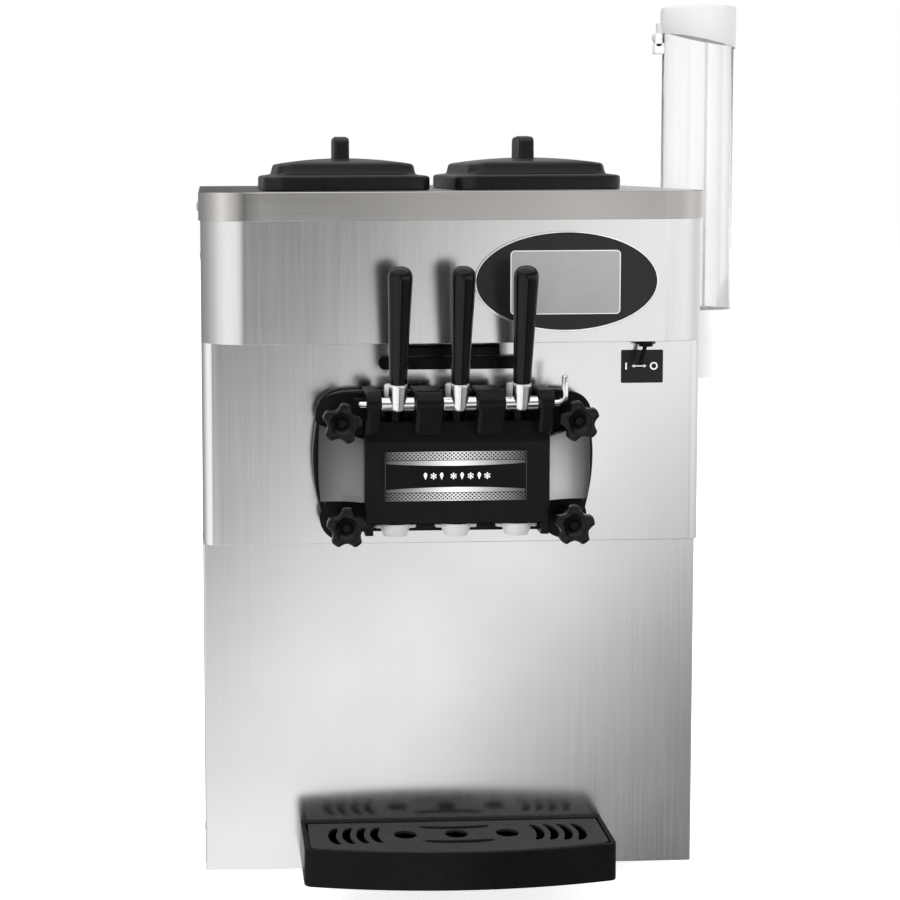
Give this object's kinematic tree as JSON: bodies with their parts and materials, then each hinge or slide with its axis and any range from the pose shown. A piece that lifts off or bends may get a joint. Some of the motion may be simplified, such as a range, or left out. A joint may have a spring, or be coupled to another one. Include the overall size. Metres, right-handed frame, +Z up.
{
  "type": "soft serve ice cream maker",
  "caption": "Countertop steel soft-serve machine with draw handles, black dispensing head, covered hoppers, oval display, drip tray and a clear side cone tube.",
  "frame": {"origin": "centre of the whole machine's box, on the surface that the feet stand on", "axes": "+Z up, +X to the machine's right seen from the front, -Y out of the front towards the user"},
  "size_m": [0.6294, 0.7272, 0.98],
  "materials": {
    "cabinet_steel": "brushed",
    "deck_steel": "satin",
    "galvanised": "matte",
    "polished_chrome": "polished",
    "black_gloss_plastic": "gloss",
    "black_matt_plastic": "matte",
    "foot_rubber": "matte",
    "screen_film": "satin",
    "white_plastic": "satin",
    "clear_plastic": "clear",
    "frosted_plastic": "frosted",
    "cast_metal": "rough",
    "black_enamel": "satin",
    "badge_foil": "gloss"
  },
  "bodies": {
    "cabinet": {"badge_plate": "badge_foil", "base_pan": "galvanised", "compressor": "black_enamel", "condenser": "deck_steel", "cone_base": "white_plastic", "cone_lid_hinge": "black_matt_plastic", "cone_tube": "clear_plastic", "display_bezel": "black_gloss_plastic", "display_screen": "screen_film", "draw_switch_bracket": "black_matt_plastic", "drive_gearbox": "cast_metal", "drive_motor": "black_enamel", "foot_front_left": "foot_rubber", "foot_front_right": "foot_rubber", "foot_rear_left": "foot_rubber", "foot_rear_right": "foot_rubber", "freezing_cylinder_left": "cabinet_steel", "freezing_cylinder_right": "cabinet_steel", "head_door": "black_gloss_plastic", "head_mount_flange": "cabinet_steel", "hopper_left": "cabinet_steel", "hopper_right": "cabinet_steel", "lower_front_panel": "cabinet_steel", "middle_front_panel": "cabinet_steel", "power_inlet": "black_matt_plastic", "rear_panel": "cabinet_steel", "side_panel_left": "cabinet_steel", "side_panel_right": "cabinet_steel", "switch_label_plate": "black_matt_plastic", "toggle_collar": "black_matt_plastic", "top_deck": "deck_steel", "tray_hanger": "cabinet_steel", "upper_fascia": "cabinet_steel"},
    "draw_switch_paddle": {"draw_switch_paddle": "black_matt_plastic"},
    "toggle_lever": {"toggle_lever": "black_gloss_plastic"},
    "pivot_rod": {"pivot_rod": "polished_chrome"},
    "drip_tray": {"drip_tray": "black_gloss_plastic"},
    "drip_grate": {"drip_grate": "black_gloss_plastic"},
    "cone_lid": {"cone_lid": "frosted_plastic"},
    "fan_rotor": {"fan_rotor": "black_matt_plastic"},
    "hopper_lid_left": {"hopper_lid_left": "black_matt_plastic"},
    "hopper_lid_right": {"hopper_lid_right": "black_matt_plastic"},
    "beater_left": {"beater_left": "white_plastic"},
    "beater_right": {"beater_right": "white_plastic"},
    "star_knob_top_left": {"star_knob_top_left": "black_gloss_plastic"},
    "star_knob_top_right": {"star_knob_top_right": "black_gloss_plastic"},
    "star_knob_bottom_left": {"star_knob_bottom_left": "black_gloss_plastic"},
    "star_knob_bottom_right": {"star_knob_bottom_right": "black_gloss_plastic"},
    "handle_left": {"handle_shaft_left": "polished_chrome", "handle_grip_left": "black_gloss_plastic"},
    "plunger_left": {"plunger_left": "white_plastic"},
    "nozzle_cap_left": {"nozzle_cap_left": "white_plastic"},
    "handle_centre": {"handle_shaft_centre": "polished_chrome", "handle_grip_centre": "black_gloss_plastic"},
    "plunger_centre": {"plunger_centre": "white_plastic"},
    "nozzle_cap_centre": {"nozzle_cap_centre": "white_plastic"},
    "handle_right": {"handle_shaft_right": "polished_chrome", "handle_grip_right": "black_gloss_plastic"},
    "plunger_right": {"plunger_right": "white_plastic"},
    "nozzle_cap_right": {"nozzle_cap_right": "white_plastic"}
  },
  "joints": [
    {"name": "handle_pull_left", "type": "hinge", "parent": "cabinet", "child": "handle_left", "pos_m": [-0.10971, -0.32258, 0.551], "axis": [1, 0, 0], "range_deg": [0, 50]},
    {"name": "handle_pull_centre", "type": "hinge", "parent": "cabinet", "child": "handle_centre", "pos_m": [-0.04521, -0.32258, 0.551], "axis": [1, 0, 0], "range_deg": [0, 50]},
    {"name": "handle_pull_right", "type": "hinge", "parent": "cabinet", "child": "handle_right", "pos_m": [0.01929, -0.32258, 0.551], "axis": [1, 0, 0], "range_deg": [0, 50]},
    {"name": "plunger_lift_left", "type": "slide", "parent": "cabinet", "child": "plunger_left", "axis": [0, 0, 1], "range_m": [0, 0.0285]},
    {"name": "plunger_lift_centre", "type": "slide", "parent": "cabinet", "child": "plunger_centre", "axis": [0, 0, 1], "range_m": [0, 0.0285]},
    {"name": "plunger_lift_right", "type": "slide", "parent": "cabinet", "child": "plunger_right", "axis": [0, 0, 1], "range_m": [0, 0.0285]},
    {"name": "star_knob_turn_top_left", "type": "hinge", "parent": "cabinet", "child": "star_knob_top_left", "pos_m": [-0.16821, -0.32758, 0.533], "axis": [0, -1, 0], "continuous": true},
    {"name": "star_knob_turn_top_right", "type": "hinge", "parent": "cabinet", "child": "star_knob_top_right", "pos_m": [0.07779, -0.32758, 0.533], "axis": [0, -1, 0], "continuous": true},
    {"name": "star_knob_turn_bottom_left", "type": "hinge", "parent": "cabinet", "child": "star_knob_bottom_left", "pos_m": [-0.16371, -0.32758, 0.424], "axis": [0, -1, 0], "continuous": true},
    {"name": "star_knob_turn_bottom_right", "type": "hinge", "parent": "cabinet", "child": "star_knob_bottom_right", "pos_m": [0.07329, -0.32758, 0.424], "axis": [0, -1, 0], "continuous": true},
    {"name": "pivot_rod_pull", "type": "slide", "parent": "cabinet", "child": "pivot_rod", "axis": [1, 0, 0], "range_m": [0, 0.22]},
    {"name": "nozzle_cap_twist_left", "type": "hinge", "parent": "cabinet", "child": "nozzle_cap_left", "pos_m": [-0.10971, -0.29258, 0.408], "axis": [0, 0, 1], "range_deg": [0, 45]},
    {"name": "nozzle_cap_twist_centre", "type": "hinge", "parent": "cabinet", "child": "nozzle_cap_centre", "pos_m": [-0.04521, -0.29258, 0.408], "axis": [0, 0, 1], "range_deg": [0, 45]},
    {"name": "nozzle_cap_twist_right", "type": "hinge", "parent": "cabinet", "child": "nozzle_cap_right", "pos_m": [0.01929, -0.29258, 0.408], "axis": [0, 0, 1], "range_deg": [0, 45]},
    {"name": "hopper_lid_lift_left", "type": "slide", "parent": "cabinet", "child": "hopper_lid_left", "axis": [0, 0, 1], "range_m": [0, 0.15]},
    {"name": "hopper_lid_lift_right", "type": "slide", "parent": "cabinet", "child": "hopper_lid_right", "axis": [0, 0, 1], "range_m": [0, 0.15]},
    {"name": "power_toggle", "type": "hinge", "parent": "cabinet", "child": "toggle_lever", "pos_m": [0.16229, -0.26458, 0.607], "axis": [0, -1, 0], "range_deg": [0, 28]},
    {"name": "draw_switch_press", "type": "hinge", "parent": "cabinet", "child": "draw_switch_paddle", "pos_m": [-0.04521, -0.25158, 0.603], "axis": [1, 0, 0], "range_deg": [0, 6], "stiffness_Nm_per_rad": 0.5},
    {"name": "drip_tray_pull", "type": "slide", "parent": "cabinet", "child": "drip_tray", "axis": [0, -1, 0], "range_m": [0, 0.12]},
    {"name": "drip_grate_lift", "type": "slide", "parent": "drip_tray", "child": "drip_grate", "axis": [0, 0, 1], "range_m": [0, 0.08]},
    {"name": "cone_lid_open", "type": "hinge", "parent": "cabinet", "child": "cone_lid", "pos_m": [0.22329, -0.03558, 0.945], "axis": [0, -1, 0], "range_deg": [0, 105]},
    {"name": "beater_spin_left", "type": "hinge", "parent": "cabinet", "child": "beater_left", "pos_m": [-0.10721, -0.28058, 0.48], "axis": [0, 1, 0], "continuous": true},
    {"name": "beater_spin_right", "type": "hinge", "parent": "cabinet", "child": "beater_right", "pos_m": [0.01679, -0.28058, 0.48], "axis": [0, 1, 0], "continuous": true},
    {"name": "fan_spin", "type": "hinge", "parent": "cabinet", "child": "fan_rotor", "pos_m": [0.06229, 0.24942, 0.19], "axis": [0, 1, 0], "continuous": true}
  ],
  "couplings": [
    {"joint": "plunger_lift_left", "follows": "handle_pull_left", "m_per_rad": 0.03206},
    {"joint": "plunger_lift_centre", "follows": "handle_pull_centre", "m_per_rad": 0.03206},
    {"joint": "plunger_lift_right", "follows": "handle_pull_right", "m_per_rad": 0.03206},
    {"joint": "beater_spin_right", "follows": "beater_spin_left", "ratio": 1}
  ]
}
